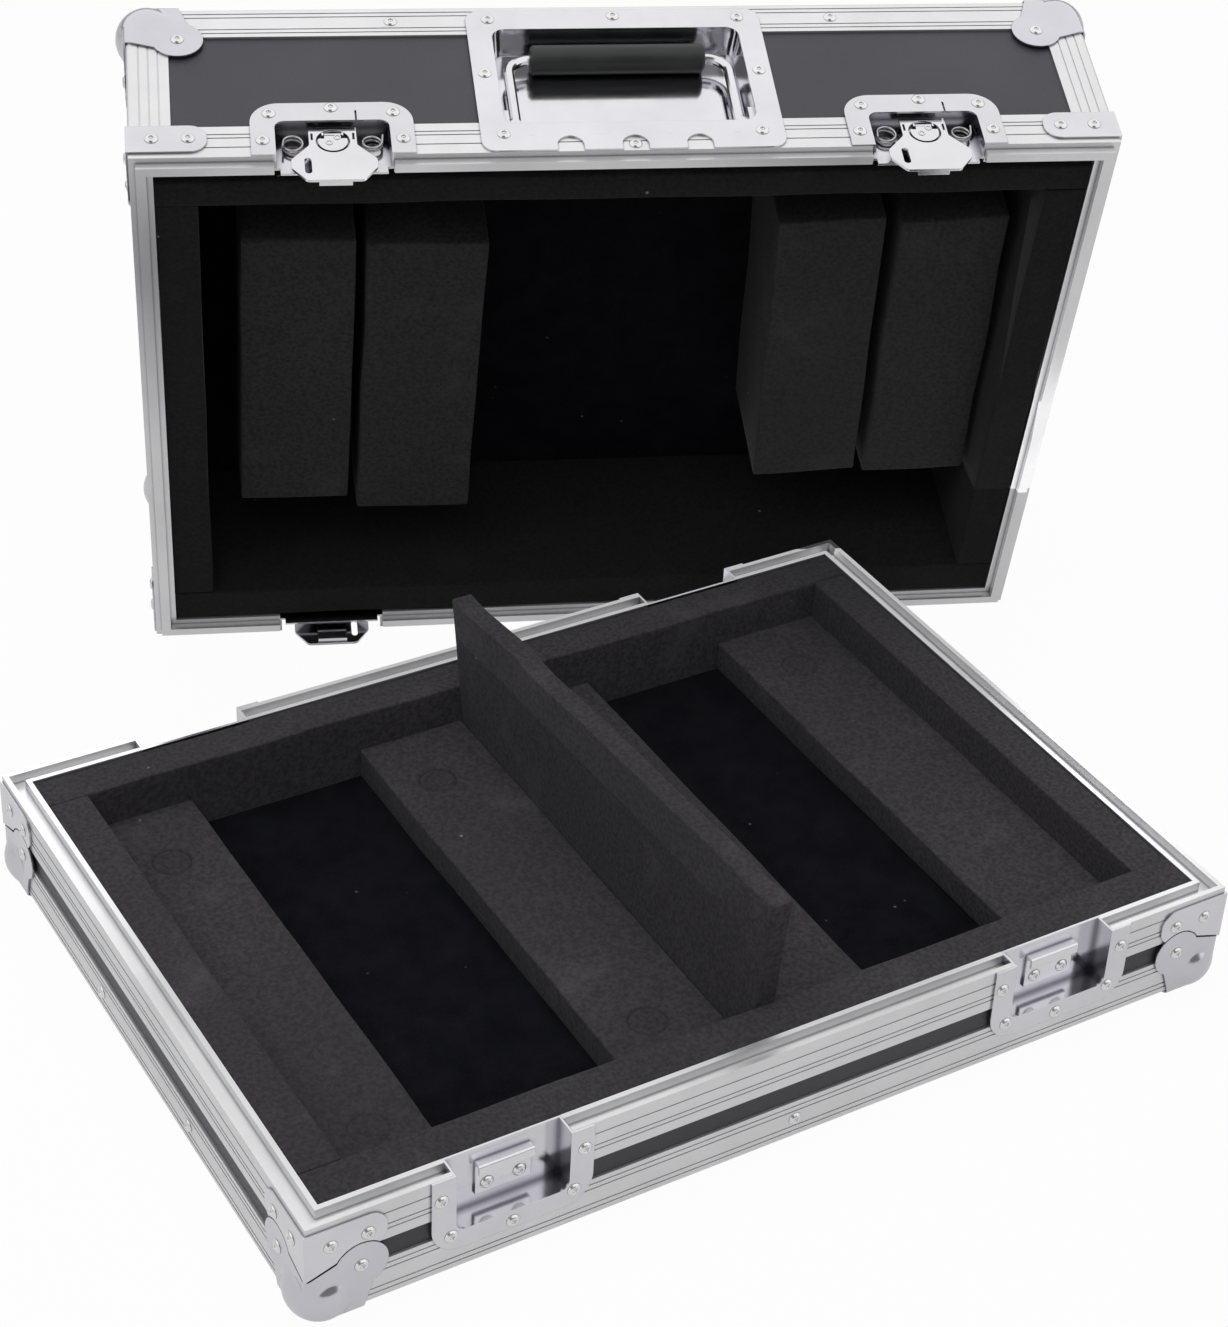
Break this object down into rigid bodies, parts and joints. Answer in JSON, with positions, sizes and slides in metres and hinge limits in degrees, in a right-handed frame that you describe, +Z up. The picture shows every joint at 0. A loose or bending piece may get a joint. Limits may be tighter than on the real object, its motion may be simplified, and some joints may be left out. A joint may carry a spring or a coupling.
{
  "type": "flight case",
  "caption": "Hard equipment case with a shallow foam-lined tray and a deep lift-off lid held by twist latches, with a recessed carrying handle.",
  "frame": {"origin": "on the floor under the tray's centre, level with the lowest points of its four ball corners", "axes": "+X along the case's width, -Y the front with the handle side of the tray, +Z up; the tray's open side faces +Z"},
  "size_m": [0.6878, 0.6547, 0.3932],
  "materials": {
    "laminate": "charcoal plastic laminate over plywood, satin",
    "extrusion": "satin ribbed extrusion",
    "plated_steel": "bright zinc plate",
    "bright_steel": "polished nickel plate",
    "rivet_steel": "plated, satin",
    "spring_wire": "dark drawn wire",
    "foam": "closed-cell charcoal foam, matt",
    "felt": "black felt with a little lint",
    "grip_rubber": "black rubber tube"
  },
  "bodies": {
    "tray": {"catch_dishes": "plated_steel", "catch_strikes": "bright_steel", "floor_lining": "felt", "foam_block_centre": "foam", "foam_strip_left": "foam", "foam_strip_right": "foam", "tray_ball_corners": "plated_steel", "tray_bottom_edging": "extrusion", "tray_corner_edging": "extrusion", "tray_floor_panel": "laminate", "tray_foam_front": "foam", "tray_foam_left": "foam", "tray_foam_rear": "foam", "tray_foam_right": "foam", "tray_front_panel": "laminate", "tray_left_panel": "laminate", "tray_rear_panel": "laminate", "tray_right_panel": "laminate", "tray_rim": "extrusion", "tray_rim_brackets": "plated_steel", "tray_rivets": "rivet_steel"},
    "lid": {"handle_dish": "plated_steel", "latch_dishes": "plated_steel", "latch_springs": "spring_wire", "lid_back_lining": "felt", "lid_ball_corners": "plated_steel", "lid_block_inner_left": "foam", "lid_block_inner_right": "foam", "lid_block_outer_left": "foam", "lid_block_outer_right": "foam", "lid_corner_edging": "extrusion", "lid_foam_front": "foam", "lid_foam_left": "foam", "lid_foam_rear": "foam", "lid_foam_right": "foam", "lid_front_panel": "laminate", "lid_left_panel": "laminate", "lid_rear_panel": "laminate", "lid_right_panel": "laminate", "lid_rim": "extrusion", "lid_rim_brackets": "plated_steel", "lid_rivets": "rivet_steel", "lid_top_edging": "extrusion", "lid_top_panel": "laminate"},
    "divider": {"divider": "foam"},
    "handle": {"handle_bail": "bright_steel", "handle_grip": "grip_rubber"},
    "hook_front_left": {"hook_front_left": "bright_steel"},
    "rotor_front_left": {"rotor_front_left": "bright_steel"},
    "wing_front_left": {"wing_front_left": "bright_steel"},
    "hook_front_right": {"hook_front_right": "bright_steel"},
    "rotor_front_right": {"rotor_front_right": "bright_steel"},
    "wing_front_right": {"wing_front_right": "bright_steel"},
    "hook_rear_left": {"hook_rear_left": "bright_steel"},
    "rotor_rear_left": {"rotor_rear_left": "bright_steel"},
    "wing_rear_left": {"wing_rear_left": "bright_steel"},
    "hook_rear_right": {"hook_rear_right": "bright_steel"},
    "rotor_rear_right": {"rotor_rear_right": "bright_steel"},
    "wing_rear_right": {"wing_rear_right": "bright_steel"}
  },
  "joints": [
    {"name": "lid_lift", "type": "slide", "parent": "tray", "child": "lid", "axis": [0, 0, 1], "range_m": [0, 0.25]},
    {"name": "divider_lift", "type": "slide", "parent": "tray", "child": "divider", "axis": [0, 0, 1], "range_m": [0, 0.12]},
    {"name": "handle_swing", "type": "hinge", "parent": "lid", "child": "handle", "pos_m": [0.11146, 0.19683, 0.3592], "axis": [0.9252, -0.3795, 0], "range_deg": [0, 90], "stiffness_Nm_per_rad": 0.25},
    {"name": "hook_draw_front_left", "type": "slide", "parent": "lid", "child": "hook_front_left", "axis": [0.3662, 0.8928, 0.2622], "range_m": [0, 0.004]},
    {"name": "latch_turn_front_left", "type": "hinge", "parent": "hook_front_left", "child": "rotor_front_left", "pos_m": [-0.03871, 0.24179, 0.35865], "axis": [-0.0995, -0.2426, 0.965], "range_deg": [0, 180]},
    {"name": "wing_fold_front_left", "type": "hinge", "parent": "rotor_front_left", "child": "wing_front_left", "pos_m": [-0.03697, 0.24603, 0.36083], "axis": [-0.9252, 0.3795, 0], "range_deg": [0, 90]},
    {"name": "hook_draw_front_right", "type": "slide", "parent": "lid", "child": "hook_front_right", "axis": [0.3662, 0.8928, 0.2622], "range_m": [0, 0.004]},
    {"name": "latch_turn_front_right", "type": "hinge", "parent": "hook_front_right", "child": "rotor_front_right", "pos_m": [0.24995, 0.1234, 0.35865], "axis": [-0.0995, -0.2426, 0.965], "range_deg": [0, 180]},
    {"name": "wing_fold_front_right", "type": "hinge", "parent": "rotor_front_right", "child": "wing_front_right", "pos_m": [0.25169, 0.12764, 0.36083], "axis": [-0.9252, 0.3795, 0], "range_deg": [0, 90]},
    {"name": "hook_draw_rear_left", "type": "slide", "parent": "lid", "child": "hook_rear_left", "axis": [0.3662, 0.8928, 0.2622], "range_m": [0, 0.004]},
    {"name": "latch_turn_rear_left", "type": "hinge", "parent": "hook_rear_left", "child": "rotor_rear_left", "pos_m": [-0.0027, 0.3296, 0.00931], "axis": [0.0995, 0.2426, -0.965], "range_deg": [0, 180]},
    {"name": "wing_fold_rear_left", "type": "hinge", "parent": "rotor_rear_left", "child": "wing_rear_left", "pos_m": [-0.00078, 0.33428, 0.00976], "axis": [0.9252, -0.3795, 0], "range_deg": [0, 90]},
    {"name": "hook_draw_rear_right", "type": "slide", "parent": "lid", "child": "hook_rear_right", "axis": [0.3662, 0.8928, 0.2622], "range_m": [0, 0.004]},
    {"name": "latch_turn_rear_right", "type": "hinge", "parent": "hook_rear_right", "child": "rotor_rear_right", "pos_m": [0.28597, 0.21121, 0.00931], "axis": [0.0995, 0.2426, -0.965], "range_deg": [0, 180]},
    {"name": "wing_fold_rear_right", "type": "hinge", "parent": "rotor_rear_right", "child": "wing_rear_right", "pos_m": [0.28789, 0.21589, 0.00976], "axis": [0.9252, -0.3795, 0], "range_deg": [0, 90]}
  ],
  "couplings": [
    {"joint": "latch_turn_front_left", "follows": "hook_draw_front_left", "rad_per_m": 785.39},
    {"joint": "latch_turn_front_right", "follows": "hook_draw_front_right", "rad_per_m": 785.39},
    {"joint": "latch_turn_rear_left", "follows": "hook_draw_rear_left", "rad_per_m": 785.39},
    {"joint": "latch_turn_rear_right", "follows": "hook_draw_rear_right", "rad_per_m": 785.39}
  ]
}
